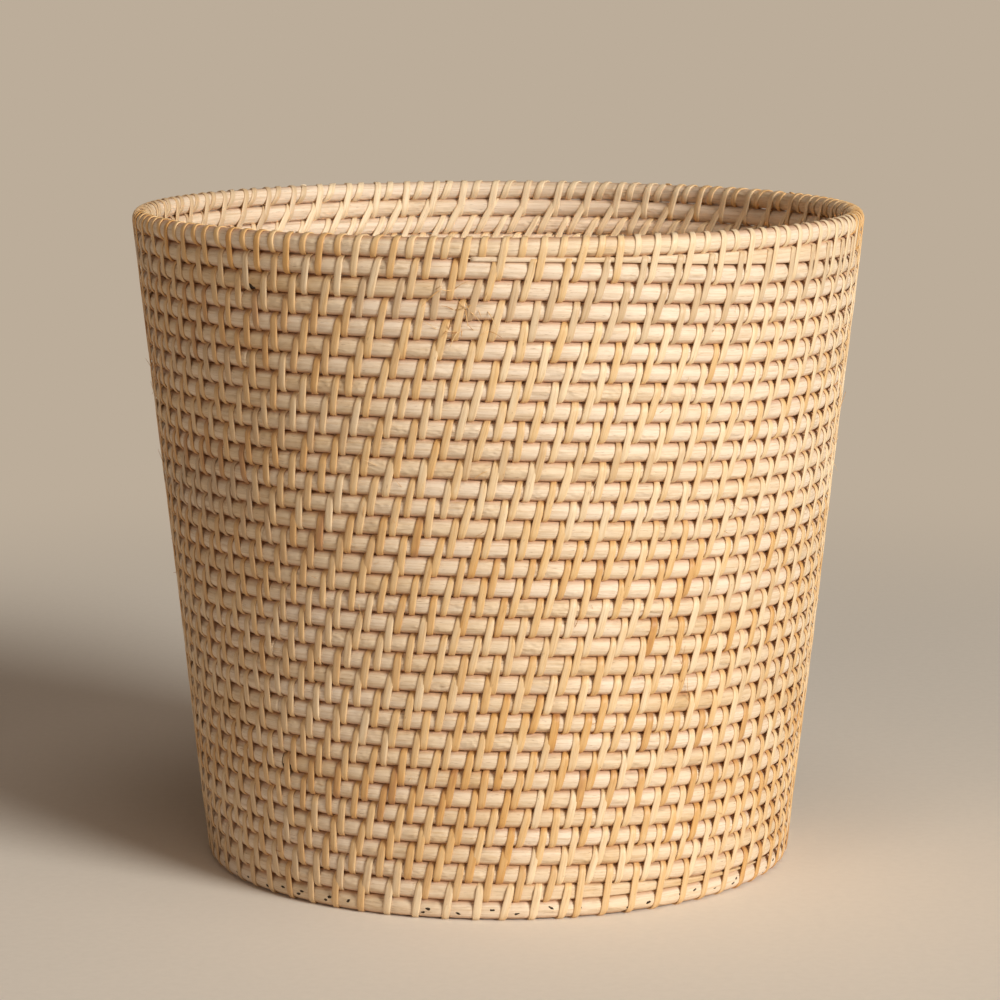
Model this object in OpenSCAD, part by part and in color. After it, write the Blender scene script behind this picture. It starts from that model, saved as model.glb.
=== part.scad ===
// Round wastebasket of coiled rattan rod, laced row to row with split rattan peel.
// The front is -Y. Angles called azimuth start at the front and grow towards +X.

/* [Basket] */
// Outer diameter over the lacing at the rim
rim_d = 307; // [270:1:340]
// Outer diameter over the lacing at the foot
foot_d = 250; // [220:1:265]
// Rows of rod up the wall, foot ring and rim included
row_count = 35; // [12:1:44]

/* [Rattan] */
// Diameter of the rods
rod_d = 6.9; // [5.5:0.1:8]
// Width of the lacing strip
strip_w = 2.6; // [2:0.1:3.4]
// Thickness of the lacing strip
strip_t = 0.5; // [0.4:0.05:0.8]
// Clearance between a strip or filler and the rod that it lies on
fit = 0.06; // [0.05:0.01:0.1]

/* [Lacing] */
// Spacing of the stitches along the foot ring
stitch_pitch = 23.6; // [22:0.1:40]
// Gap between a stitch and the one beside it from the next row
stitch_gap = 0.95; // [0.9:0.05:1.6]
// Lean of a stitch from the upright
stitch_lean = 8; // [0:0.5:12]

/* [Coil] */
// Azimuth at which the coil starts to climb
step_start = -15; // [-40:1:10]
// Angle over which the coil climbs one row
step_span = 90; // [70:1:120]
// Turns of wall made from one length of rod
rod_turns = 3; // [2:1:4]
// Azimuth of the butt joints between lengths of rod
splice_azimuth = -42; // [-60:1:-42]
// Radial width of the filler strips
wedge_w = 5; // [3.5:0.1:6]
// Thickness at which a filler strip is cut off
wedge_tip = 0.7; // [0.5:0.1:1.5]

/* [Base] */
// Thickness of the base board
board_t = 6; // [4:0.5:9]
// Clearance between the base board and the lacing round it
board_gap = 0.15; // [0.1:0.05:0.4]
// Rounding of the upper edge of the base board
board_edge = 1; // [0.5:0.1:1.5]
// Brads in each bay between two foot stitches
brads_per_bay = 1; // [1:1:3]
// Diameter of the brads
brad_d = 1.2; // [0.9:0.1:1.6]
// Length of the brads
brad_l = 18; // [14:0.5:24]

/* [Hidden] */
$fn = 48;
rod_r = rod_d / 2;
// A leaning strip sweeps this much to either side of its middle as it goes round a rod.
strip_sway = strip_w / 2 * tan(stitch_lean);
bend_in = rod_r + fit + strip_sway;
bend_out = bend_in + strip_t;
strip_room = strip_t + 2 * strip_sway + 2 * fit;
row_step = rod_d + strip_room;
knuckle_rise = fit / 2;

// Rings and rows: row 0 is the foot ring, the last row is the rim.
rim_row = row_count - 1;
top_row = rim_row - 1;
foot_r = foot_d / 2 - bend_out;
rim_r = rim_d / 2 - bend_out;
row_run = (rim_r - foot_r) / rim_row;
row_rise = sqrt(row_step * row_step - row_run * row_run);
wall_lean = atan2(row_run, row_rise);
foot_z = bend_out + strip_sway;

// The coil runs to the left from azimuth step_start, angle along it is called the travel.
half_step = step_span / 2;
level_span = 360 - step_span;
step_end = step_start + step_span;
coil_end = 360 * (top_row - 1) + level_span;
splice_travel = step_start - splice_azimuth;
rod_count = ceil(top_row / rod_turns);
// Angle of the clearance where the two lengths of a filler strip butt.
filler_butt = fit / foot_r * 180 / PI;

// Stitches: each bay is one stitch, and each row is set over by stitch_shift bays.
bay_count = floor(360 / (stitch_pitch / foot_r * 180 / PI));
foot_bay = 2 * PI * foot_r / bay_count;
lean_reach = row_step * tan(stitch_lean);
stitch_shift = (strip_w + stitch_gap + lean_reach) / foot_bay;
bay_angle = 360 / (bay_count + stitch_shift);
first_stitch = bay_angle * 0.45;
stitch_total = floor((coil_end + 360 - first_stitch) / bay_angle - stitch_shift);

// Base board and brads.
board_r = foot_r - bend_out - board_gap;
brad_z = board_t / 2;
ring_seam = step_start - first_stitch;
brad_spacing = bay_angle / brads_per_bay;
brad_head_d = brad_d * 1.7;
brad_head_t = brad_d * 0.4;
brad_hole_d = brad_d + 2 * fit;
brad_face = foot_r + sqrt(rod_r * rod_r - pow(foot_z - brad_z, 2));

peel = "#c79a5c";
cane = "#e0c79c";
ply = "#c9a878";
iron = "#3a3531";

function two_digits(i) = str(i < 10 ? "0" : "", i);
function rod_name(i) = str("wall_rod_", two_digits(i));
function lacing_name(i) = str("wall_lacing_", two_digits(i));

function row_r(row) = foot_r + row * row_run;
function row_z(row) = foot_z + row * row_rise;

// The climb from a row to the next is two flat arcs that meet at a common tangent. A bend is
// named by the level row that it leaves, and side is -1 if it drops from there, +1 if it rises.
start_dir = [0, 1, 0];
end_dir = [-sin(step_span), cos(step_span), 0];
end_out = [cos(step_span), sin(step_span), 0];
function climb(low) = row_r(low) * end_out - [row_r(low + 1), 0, row_rise];
function tangent_length(low) =
    let (
        opened = 2 * (1 - cos(step_span)),
        along = climb(low) * (start_dir + end_dir)
    )
    (sqrt(along * along + opened * climb(low) * climb(low)) - along) / opened;
function meeting_dir(low) =
    (climb(low) - tangent_length(low) * (start_dir + end_dir)) / (2 * tangent_length(low));
function bend_low(row, side) = side < 0 ? row - 1 : row;
// Direction at the far end of a bend: inward, along and to the side that it climbs.
function bend_dir(row, side) =
    let (far = meeting_dir(bend_low(row, side)))
    side < 0 ? [-far[0], far[1], -far[2]] : [far * end_out, far * end_dir, -far[2]];
function bend_tilt(row, side) = atan2(bend_dir(row, side)[2], bend_dir(row, side)[0]);
function bend_sweep(row, side) = acos(bend_dir(row, side)[1]);
function bend_radius(row, side) =
    tangent_length(bend_low(row, side)) / tan(bend_sweep(row, side) / 2);

// Place on a rod: azimuth, radius, height and the slope of the rod there.
function level_point(row, azimuth) = [azimuth, row_r(row), row_z(row), 0];
function bend_point(row, side, share) =
    let (
        turned = share * bend_sweep(row, side),
        radius = bend_radius(row, side),
        tilt = bend_tilt(row, side),
        inward = radius * (1 - cos(turned)),
        along = radius * sin(turned),
        outward = row_r(row) - inward * cos(tilt),
        start = side < 0 ? step_start : step_end
    )
    [
        start - side * atan2(along, outward),
        norm([outward, along]),
        row_z(row) + side * inward * sin(tilt),
        -asin(sin(tilt) * sin(turned))
    ];
function coil_point(travel) =
    let (
        turn = floor(travel / 360),
        rest = travel - 360 * turn,
        climbed = rest - level_span
    )
    climbed <= 0 ? level_point(turn + 1, step_start - rest)
    : climbed <= half_step ? bend_point(turn + 1, 1, climbed / half_step)
    : bend_point(turn + 2, -1, (step_span - climbed) / half_step);
function upper_point(travel) =
    travel <= coil_end ? coil_point(travel) : level_point(rim_row, step_start - travel);
function lower_point(travel) =
    travel >= 360 ? coil_point(travel - 360) : level_point(0, step_start - travel);

module at_azimuth(azimuth, radius, height)
    rotate([0, 0, azimuth - 90])
        translate([radius, 0, height])
            children();

// Frame at the start of a climbing bend: X outward, Y along the rod, tilted into its plane.
module at_bend(row, side)
    at_azimuth(side < 0 ? step_start : step_end, row_r(row), row_z(row))
        rotate([0, side * bend_tilt(row, side), 0])
            children();

module level_arc(row, from, to)
    translate([0, 0, row_z(row)])
        rotate([0, 0, from - 90])
            rotate_extrude(angle = to - from, $fn = 180)
                translate([row_r(row), 0])
                    circle(d = rod_d);

module bend_arc(row, side) {
    radius = bend_radius(row, side);
    sweep = bend_sweep(row, side);
    at_bend(row, side)
        translate([-radius, 0, 0])
            rotate([0, 0, side < 0 ? 0 : -sweep])
                rotate_extrude(angle = sweep, $fn = 180)
                    translate([radius, 0])
                        circle(d = rod_d);
}

// A ball a hair larger than the rod closes the meeting of two arcs.
module knuckle(travel) {
    place = coil_point(travel);
    at_azimuth(place[0], place[1], place[2])
        sphere(r = rod_r + knuckle_rise);
}

// Rod along the coil between two travels, both on a level stretch.
module coil_rod(from, to) {
    for (turn = [floor(from / 360):floor(to / 360)]) {
        low = max(from, 360 * turn);
        high = min(to, 360 * turn + level_span);
        if (high > low)
            level_arc(turn + 1, step_start - high + 360 * turn, step_start - low + 360 * turn);
        if (to >= 360 * (turn + 1) && from < 360 * (turn + 1)) {
            bend_arc(turn + 1, 1);
            bend_arc(turn + 2, -1);
            for (bend = [0, half_step, step_span])
                knuckle(360 * turn + level_span + bend);
        }
    }
}

function rod_from(i) = i == 1 ? 0 : splice_travel + 360 * rod_turns * (i - 1);
function rod_to(i) = min(coil_end, splice_travel + 360 * rod_turns * i);

// Half of a strip's turn round one rod, over it or under it.
module strip_bend(side)
    rotate([90 * side, 0, 0])
        rotate_extrude(angle = 180)
            translate([bend_in, -strip_w / 2])
                square([strip_t, strip_w]);

// Closed loop of strip round two rods, from the upper one down.
module strip_loop(length) {
    strip_bend(1);
    translate([0, 0, -length])
        strip_bend(-1);
    for (face = [bend_in, -bend_out])
        translate([face, -strip_w / 2, -length])
            cube([strip_t, strip_w, length]);
}

// One stitch, round the rod at this place on the coil and the row below it.
module stitch(travel) {
    upper = upper_point(travel);
    lower = lower_point(travel);
    run = upper[1] - lower[1];
    rise = upper[2] - lower[2];
    slope = (upper[3] + lower[3]) / 2;
    length = norm([run, rise]) * cos(slope);
    loop = length / cos(stitch_lean);
    at_azimuth(upper[0], upper[1], upper[2])
        rotate([slope, 0, 0])
            rotate([0, atan2(run, rise), 0])
                translate([0, 0, -length / 2])
                    rotate([-stitch_lean, 0, 0])
                        translate([0, 0, loop / 2])
                            strip_loop(loop);
}

module stitches(from, to)
    for (i = [0:stitch_total - 1]) {
        travel = first_stitch + i * bay_angle;
        if (travel >= from && travel < to)
            stitch(travel);
    }

// Filler strip over half of the step, between a level ring and the bend of another row.
// The room is bounded by the ring's level face and by the flat plane of the bend.
module filler(ring_row, up, bend_row, side, room, from, to)
    difference() {
        rotate([0, 0, from - 90])
            rotate_extrude(angle = to - from, $fn = 180)
                translate([row_r(ring_row), row_z(ring_row)])
                    rotate(-wall_lean)
                        translate([-wedge_w / 2, up > 0 ? rod_r + room : -2 * row_step])
                            square([wedge_w, 2 * row_step - rod_r - room]);
        at_bend(bend_row, side)
            translate([0, 0, up * (row_step * 2 - rod_r - strip_room)])
                cube([rim_d, rim_d, row_step * 4], center = true);
    }

// Angle from the closed end of the step at which a filler has its tip thickness.
function tip_angle(room) =
    acos(1 - (wedge_tip + room) / row_step * 2 * (1 - cos(half_step)));

module base_board()
    color(ply)
        difference() {
            union() {
                cylinder(r = board_r, h = board_t - board_edge, $fn = 180);
                translate([0, 0, board_t - board_edge])
                    cylinder(r = board_r - board_edge, h = board_edge, $fn = 180);
                translate([0, 0, board_t - board_edge])
                    rotate_extrude($fn = 180)
                        translate([board_r - board_edge, 0])
                            intersection() {
                                circle(r = board_edge);
                                square(board_edge);
                            }
            }
            brad_holes();
        }

module at_brads()
    for (i = [0:bay_count * brads_per_bay - 1])
        at_azimuth(ring_seam - (i + 0.5) * brad_spacing, brad_face, brad_z)
            rotate([0, -90, 0])
                children();

module brad_holes()
    at_brads()
        translate([0, 0, -brad_head_t - fit])
            cylinder(d = brad_hole_d, h = brad_l + brad_head_t + 2 * fit);

module foot_brads()
    color(iron)
        at_brads()
            union() {
                cylinder(d = brad_d, h = brad_l);
                translate([0, 0, -brad_head_t])
                    cylinder(d = brad_head_d, h = brad_head_t);
            }

module foot_ring()
    color(cane)
        difference() {
            level_arc(0, ring_seam, ring_seam + 360);
            brad_holes();
        }

module foot_wedge()
    color(cane) {
        filler(0, 1, 2, -1, fit, step_start, step_start + half_step);
        filler(0, 1, 1, 1, fit, step_start + half_step + filler_butt,
            step_end - tip_angle(fit));
    }

module rim_wedge()
    color(cane) {
        filler(rim_row, -1, top_row, -1, strip_room, step_start + tip_angle(strip_room),
            step_start + half_step);
        filler(rim_row, -1, top_row - 1, 1, strip_room,
            step_start + half_step + filler_butt, step_end);
    }

module foot_lacing()
    color(peel)
        stitches(0, 360);

module wall_rod(i)
    color(cane)
        coil_rod(rod_from(i), rod_to(i));

module wall_lacing(i)
    color(peel)
        stitches(max(360, rod_from(i)), rod_to(i));

module rim_ring()
    color(cane)
        level_arc(rim_row, 0, 360);

module rim_lacing()
    color(peel)
        stitches(coil_end, coil_end + 360);

module rim_short_wraps()
    color(peel)
        for (i = [0:stitch_total - 1]) {
            travel = first_stitch + (i + 0.5) * bay_angle;
            if (travel > coil_end + bay_angle / 2)
                at_azimuth(step_start - travel, rim_r, row_z(rim_row))
                    rotate([0, wall_lean, 0])
                        rotate([90, 0, 0])
                            rotate_extrude()
                                translate([rod_r + fit, -strip_w / 2])
                                    square([strip_t, strip_w]);
        }

base_board();
foot_brads();
foot_ring();
foot_wedge();
foot_lacing();
for (i = [1:rod_count])
    wall_rod(i);
for (i = [1:rod_count])
    wall_lacing(i);
rim_wedge();
rim_ring();
rim_lacing();
rim_short_wraps();
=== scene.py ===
"""Looks of a round wastebasket of coiled rattan rod, laced row to row with split rattan peel.

The front is -Y. Angles called azimuth start at the front and grow towards +X. The coil runs to the
left and climbs; the angle along it is called the travel. Sizes are in millimetres and degrees, and in
metres where a name or comment says so. Tones go from 0, pale, to 1, brown.
"""
import math

import bpy
import numpy as np
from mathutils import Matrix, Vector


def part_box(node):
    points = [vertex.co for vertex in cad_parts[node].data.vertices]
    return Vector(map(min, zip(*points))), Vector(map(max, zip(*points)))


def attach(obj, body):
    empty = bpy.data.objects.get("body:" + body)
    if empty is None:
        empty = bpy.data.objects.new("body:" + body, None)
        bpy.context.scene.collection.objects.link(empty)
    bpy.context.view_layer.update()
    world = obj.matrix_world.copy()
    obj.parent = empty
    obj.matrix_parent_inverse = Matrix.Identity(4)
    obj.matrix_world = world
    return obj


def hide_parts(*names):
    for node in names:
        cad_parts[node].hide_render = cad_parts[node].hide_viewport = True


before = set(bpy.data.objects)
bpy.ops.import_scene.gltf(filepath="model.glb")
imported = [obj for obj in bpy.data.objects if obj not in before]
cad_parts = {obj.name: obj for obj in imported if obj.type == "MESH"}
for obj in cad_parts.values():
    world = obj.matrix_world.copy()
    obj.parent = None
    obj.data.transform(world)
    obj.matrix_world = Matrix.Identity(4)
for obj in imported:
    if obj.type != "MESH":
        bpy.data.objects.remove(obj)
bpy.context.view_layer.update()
MM = 0.001  # in metres
BODY = "root"


def ring_size(node):
    """Radius and height of a ring's centre line, and the radius of its rod."""
    low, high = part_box(node)
    rod = (high.z - low.z) / 2
    return ((high.x - low.x) / 2 - rod) / MM, (high.z + low.z) / 2 / MM, rod / MM


# Coil: a level foot ring, a wall that climbs one row per turn in a step at the front, and a level rim
FOOT_R, FOOT_Z, ROD_R = ring_size("foot_ring")
RIM_R, RIM_Z, _ = ring_size("rim_ring")
ROW_COUNT = 35
RIM_ROW = ROW_COUNT - 1
TOP_ROW = RIM_ROW - 1
ROW_RUN = (RIM_R - FOOT_R) / RIM_ROW
ROW_RISE = (RIM_Z - FOOT_Z) / RIM_ROW
ROW_STEP = math.hypot(ROW_RUN, ROW_RISE)
STEP_START = -15.0
STEP_SPAN = 90.0
LEVEL_SPAN = 360 - STEP_SPAN
STEP_END = STEP_START + STEP_SPAN
SHAVED_AT = 14.0
SHAVED_LEAST = 0.3
COIL_START = STEP_START - SHAVED_AT
COIL_END = 360 * (TOP_ROW - 1) + LEVEL_SPAN
WALL_SWAY = 0.22
SWAY_UP_SHARE = 0.6
SWAY_ROWS = 3
SWAY_SEEDS = (61, 62)

# Rods: neighbours press a little into each other, and strips pinch their outside
ROD_TURNS = 3
ROD_COUNT = math.ceil(TOP_ROW / ROD_TURNS)
ROD_SIDES = 16
ROD_RING_ANGLE = 0.5
RING_SWEEP = 359.9
ROD_SWELL = 0.02
ROD_SWELL_WAVES = ((0.6, 70), (0.4, 21))
ROD_OVAL_WAVE = 150
ROD_PRESS = 0.04
ROD_TALL = (ROW_STEP + ROD_PRESS) / (2 * ROD_R)
PINCH = 0.09
PINCH_REACH = 2.2
ROD_GRAIN_APART = 400
ROD_SEEDS_APART = 100
HOLE_SHADE_SEED = 50
FOOT_RING_SEED = 41
RIM_RING_SEED = 43
RIM_RING_SEAM = 150.0

# Splices: where rods butt, and two that stand open, with a thin near-black plug in the gap as painted shade
# of the hole
SPLICE_AZIMUTH = -42.0
SPLICE_TRAVEL = STEP_START - SPLICE_AZIMUTH
LOW_SPLICE = SPLICE_TRAVEL + 360 * 6
HIGH_SPLICE = 360 * 31 + 26.0
OPEN_SPLICES = (LOW_SPLICE, HIGH_SPLICE)
SPLICE_GAP = 0.2
SPLICE_TAPER = 7.0
WHITTLED_TO = 0.4
HOLE_SHADE_ENDS = (-4.0, 0.8)
HOLE_SHADE_RINGS = 9
HOLE_SHADE_GIRTH = 0.9

# Tones of rods and strips: paler towards the top, browner with painted shade at the left but paler with
# painted light low down there, with painted shade at tucked strip ends and partly painted light inside
ROD_TONE = 0.26
ROD_TONE_DRIFTS = ((0.13, 160), (0.08, 37))
RING_TONE = 0.2
RING_TONE_DRIFT = (0.1, 80)
BROWN_STRETCHES = ((HIGH_SPLICE - 32, HIGH_SPLICE, 0.3), (LOW_SPLICE - 40, LOW_SPLICE, 0.25))
LEFT_AZIMUTHS = (-150, -100, -40, 0)
LEFT_SHARES = (0, 1, 1, 0)
LOW_TURNS = 20
PALER_FROM_TURN = 12
PALER_OVER_TURNS = 12
LEFT_PAINTED_SHADE = 1.3
UPPER_PALER = 0.24
LOW_LEFT_LIGHT = 0.16
STRIPS_PALER = 0.22
STRIPS_LOW_LEFT_LIGHT = 2 * LOW_LEFT_LIGHT
STRIPS_LEFT_SHADE = 0.14
STRIPS_LEFT_GREY_SHADE = 0.25
TUCKED_PAINTED_SHADE = 0.3
INSIDE_PAINTED_LIGHT = 0.4

# Lacing: shares of a stitch's angle say how far a strip goes sideways down the front of a wrap
STITCH_ANGLE = 360 / 64.39
FIRST_STITCH = 5.03
FOOT_RING_SEAM = STEP_START - FIRST_STITCH - 1.0
SPACING_UNEVEN = 0.05
SPACING_WAVES = (23, 6.3)
SPACING_SEEDS = (501, 502)
FRONT_SHARE = 0.30
UPRIGHT_AZIMUTHS = (-180, -160, -120, -46, -24)
UPRIGHT_SHARES = (0, 0, 1, 1, 0)
LEAN_UNEVEN = 0.06
LEAN_WAVE = 2.7
LEAN_SEED = 611
RIM_LONG_SHARE = 0.54
RIM_LONG_FRONT = 0.27
RIM_SHORT_FRONT = 0.15
STRIP_W = 2.95
STRIP_T = 0.58
STRIP_FIT = 0.05
STRIP_NARROWED = 0.16
STRIP_GRAIN_APART = 900
STRIP_GRAIN_SHIFT = 13.7
LACING_SEEDS_APART = 1000
FOOT_LACING_SEED = 555
RIM_LACING_SEED = 83

# Section of a strip: a slightly crowned skin with eased edges over a flat inside, as shares of the width
# and thickness
STRIP_SECTION = np.array([(-0.5, 0.1), (-0.5, 0.6), (-0.43, 0.88), (-0.2, 1), (0.2, 1), (0.43, 0.88),
                          (0.5, 0.6), (0.5, 0.1), (0.4, 0), (-0.4, 0)])

# Runs of one strip: how many stitches, and the mean and spread of their tone and grey tint
RUN_LENGTHS = (3, 13)
RUN_WIDTHS = (0.9, 1.1)
PALE_UP_TO = 0.25
DARK_UP_TO = 0.37
GREY_UP_TO = 0.45
USUAL_TONE = (0.42, 0.09)
PALE_TONE = (0.18, 0.06)
DARK_TONE = (0.66, 0.08)
USUAL_TINT = (0.08, 0.08)
GREY_TINTS = (0.45, 0.8)
STITCH_SPREAD = 0.09
RIM_STITCH_SPREAD = 0.1

# Filler strips
ROUND = 2.0
FILLER_SQUARENESS = 5.0
FILLER_SIDES = 20
FILLER_RINGS = 90
FILLER_GRAIN_APART = 700
FILLER_TONE = 0.24
FILLER_TONE_DRIFT = (0.1, 20)
WEDGE_W = 5.6
FILLER_OUT = 0.3
FILLER_FIT = 0.1
FILLER_FACE = WEDGE_W / 2 + FILLER_OUT + FILLER_FIT
FILLER_SHOWS = 0.5
BESIDE_FILLER = (0.01, 0.95)
RIM_FILLER_LEAST = 2.0
RIM_FILLER_SEED = 31
RIM_WEDGE_FROM = -4.0
FOOT_FILLER_SEED = 37
FOOT_FILLER_INSET = 0.99
FOOT_FILLER_BROWNER = 0.3
FOOT_WEDGE_FROM = STEP_START - 1.5
FOOT_WEDGE_TO = 64.0

# Loose fibres
FRAY_SEED = 17
FRAY_COUNT = 150
FRAY_RINGS = 8
FRAY_SIDES = 5
FRAY_LENGTHS = (2.5, 8.0)
FRAY_GIRTHS = (0.09, 0.17)
FRAY_ROOT = 0.6
FRAY_BEND = 0.35
FRAY_STANDS = (1.0, 1.6)
FRAY_CURLS = (0, 1.4)
FRAY_THINNED = 0.5
FRAY_TONES = (0.2, 1.0)
FRAY_GRAIN_APART = 50
WORN_FRAYS = 24
WORN_AZIMUTH = -5.5
WORN_SPREAD = 2.2
WORN_TURNS = (29, 32)
WORN_COARSER = 1.5

# Brads: places in a bay as shares of a stitch's angle, and a profile from tip to head
BRAD_SEED = 9
BRAD_BAYS = 64
BRAD_HEIGHT = 3.9
BRAD_SHARE = -0.02
BRAD_SHARE_AT_STEP = -0.3
BRAD_SHARE_SPREAD = 0.24
BRAD_HEIGHT_SPREAD = 1.3
BRADS_IN_BAY = (0, 1, 1, 1, 2)
PAIR_SHARE = 0.16
PAIR_DROP = 1.3
BRAD_REACH = np.array([-17, -0.6, -0.5, -0.1, 0.06])
BRAD_GIRTH = np.array([0.6, 0.6, 0.9, 0.95, 0.55])
BRAD_SIDES = 12
BRAD_UNEVEN = 0.1
BRAD_TILT = 0.3  # in radians
BRAD_WIDENED = (0.9, 1.6)
BRAD_FLATTENED = (0.45, 0.7)

# Stage, lamps and camera, in metres
STAGE_SIDES = 96
STAGE_R = 40.0
FADE_REACH = (0.35, 1.1)
BACKDROP = "#bcad9a"
FILL_COLOUR = "#f0c49e"
FILL_STRENGTH = 0.045
INSIDE_AZIMUTH = 157.0
INSIDE_R = 0.03
INSIDE_DEPTH = 0.02
INSIDE_CONE = 3.8
INSIDE_BLEND = 0.6
INSIDE_LAMP_R = 0.03
CAMERA_BACK = 1.5188
CAMERA_HEIGHT = 0.3935
CAMERA_DIP = 9.10
LENS_LENGTH = 130.2  # in millimetres
SENSOR_WIDTH = 36  # in millimetres
FRAME_SHIFT = 0.0017


def wander(places, wavelength, seed):
    """Smooth seeded noise of about unit size along a length."""
    rng = np.random.default_rng(seed)
    total = np.zeros_like(places, dtype=float)
    for _ in range(4):
        stretch = rng.uniform(0.6, 1.7)
        phase = rng.uniform(0, 2 * np.pi)
        total += np.sin(2 * np.pi * places / (wavelength * stretch) + phase)
    return total / 2


def row_place(row):
    """Radius and height of a row's centre line, whole or between two rows."""
    return FOOT_R + row * ROW_RUN, FOOT_Z + row * ROW_RISE


def sway(azimuth, row, seed):
    """Slow unevenness of the wall, nearly alike on neighbouring rows and none at the foot and rim."""
    rng = np.random.default_rng(seed)
    total = np.zeros(np.broadcast(azimuth, row).shape)
    for waves in (2, 3, 5, 8):
        phase = rng.uniform(0, 2 * np.pi)
        total += np.sin(waves * np.radians(azimuth) + rng.uniform(0.1, 0.3) * row + phase)
    return total / 2 * np.clip(np.minimum(row, RIM_ROW - row) / SWAY_ROWS, 0, 1)


def swayed_place(azimuth, row):
    """Radius and height of a row at an azimuth, with the wall's unevenness."""
    radius, height = row_place(row)
    out = WALL_SWAY * sway(azimuth, row, SWAY_SEEDS[0])
    return radius + out, height + SWAY_UP_SHARE * WALL_SWAY * sway(azimuth, row, SWAY_SEEDS[1])


def climb_share(angle):
    """Share of a row that the coil has climbed at an angle into its step: two equal arcs."""
    half = STEP_SPAN / 2
    inner = np.minimum(angle, STEP_SPAN - angle)
    rise = (1 - np.cos(np.radians(inner))) / (2 * (1 - math.cos(math.radians(half))))
    return np.where(angle <= half, rise, 1 - rise)


def coil_row(travel):
    """Row of the coil at a travel, a fraction where it climbs."""
    turn = np.floor(travel / 360)
    climbed = np.clip(travel - 360 * turn - LEVEL_SPAN, 0, STEP_SPAN)
    return turn + 1 + climb_share(climbed)


def shaved_thickness(azimuth):
    """Height of the coil's start, which is shaved to let the second turn climb over it."""
    climbed = climb_share(np.clip(azimuth - STEP_START, 0, STEP_SPAN)) * ROW_RISE
    return np.maximum(2 * ROD_R * ROD_TALL - climbed, SHAVED_LEAST)


def shaved_row(azimuth):
    """Row of the middle of the coil's shaved start."""
    return 1 - (ROD_R * ROD_TALL - shaved_thickness(azimuth) / 2) / ROW_RISE


def upper_row(travel):
    """Row of the upper of the two rods that a stitch at this travel binds."""
    level = np.where(travel <= COIL_END, coil_row(travel), RIM_ROW)
    return np.where(travel < 0, shaved_row(STEP_START - travel), level)


def lower_row(travel):
    """Row of the lower of the two rods that a stitch at this travel binds."""
    below = np.where(travel >= 360, coil_row(travel - 360), 0)
    over_start = (travel > 360 + COIL_START) & (travel < 360)
    return np.where(over_start, shaved_row(STEP_START + 360 - travel), below)


def outward(azimuth):
    """Unit vectors that point out of the basket at these azimuths."""
    angle = np.radians(azimuth)
    return np.stack([np.sin(angle), -np.cos(angle), np.zeros_like(angle)], axis=-1)


def in_space(azimuth, radius, height):
    """Points from their azimuths, radii and heights."""
    points = outward(azimuth) * np.asarray(radius)[..., None]
    points[..., 2] = height
    return points


def squared(wave, squareness):
    """Cosine or sine of a round section, bent to that of a squarer one as squareness grows from ROUND."""
    return np.sign(wave) * np.abs(wave) ** (2 / squareness)


def unit(vectors):
    """The same directions with a length of 1."""
    return vectors / np.linalg.norm(vectors, axis=-1, keepdims=True)


def path_length(points):
    """Length along a path up to each of its points."""
    steps = np.linalg.norm(np.diff(points, axis=0), axis=1)
    return np.concatenate([[0], np.cumsum(steps)])


class Skin:
    """Points, faces and point attributes of one piece, gathered tube by tube."""

    def __init__(self):
        self.points, self.quads, self.caps, self.grain, self.tone, self.tint = [], [], [], [], [], []
        self.count = 0

    def add_tube(self, rings, grain, tone, tint):
        """Rings of points along a path, joined by quads and closed by a face at either end."""
        length, sides, _ = rings.shape
        index = self.count + np.arange(length * sides).reshape(length, sides)
        after = np.roll(index, -1, axis=1)
        quads = np.stack([index[:-1], after[:-1], after[1:], index[1:]], axis=-1)
        self.points.append(rings.reshape(-1, 3))
        self.quads.append(quads.reshape(-1, 4))
        self.caps += [index[0][::-1], index[-1]]
        self.grain.append(grain.reshape(-1, 3))
        self.tone.append(np.broadcast_to(tone, (length, sides)).ravel())
        self.tint.append(np.broadcast_to(tint, (length, sides)).ravel())
        self.count += length * sides

    def piece(self, name, material, nodes=()):
        """The mesh object, riding on the basket in place of its nodes."""
        mesh = bpy.data.meshes.new(name)
        quads = np.concatenate(self.quads)
        corners = np.concatenate([quads.ravel(), *self.caps])
        sizes = np.concatenate([np.full(len(quads), 4), [len(cap) for cap in self.caps]])
        mesh.vertices.add(self.count)
        mesh.loops.add(len(corners))
        mesh.polygons.add(len(sizes))
        mesh.vertices.foreach_set("co", (np.concatenate(self.points) * MM).ravel())
        mesh.loops.foreach_set("vertex_index", corners.astype(np.int32))
        mesh.polygons.foreach_set("loop_start", (np.cumsum(sizes) - sizes).astype(np.int32))
        mesh.update(calc_edges=True)
        mesh.polygons.foreach_set("use_smooth", np.arange(len(sizes)) < len(quads))
        add_attribute(mesh, "grain", "FLOAT_VECTOR", "vector", np.concatenate(self.grain))
        add_attribute(mesh, "tone", "FLOAT", "value", np.concatenate(self.tone))
        add_attribute(mesh, "tint", "FLOAT", "value", np.concatenate(self.tint))
        mesh.materials.append(material)
        made = bpy.data.objects.new(name, mesh)
        bpy.context.scene.collection.objects.link(made)
        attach(made, BODY)
        if nodes:
            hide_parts(*nodes)
        return made


def add_attribute(mesh, name, kind, field, values):
    """Stores a value for each point of a mesh."""
    data = mesh.attributes.new(name, kind, "POINT").data
    data.foreach_set(field, values.astype(np.float32).ravel())


def linear(code):
    """Linear colour from a written one."""
    parts = [int(code[i:i + 2], 16) / 255 for i in (1, 3, 5)]
    return [c / 12.92 if c <= 0.04045 else ((c + 0.055) / 1.055) ** 2.4 for c in parts] + [1]


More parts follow.
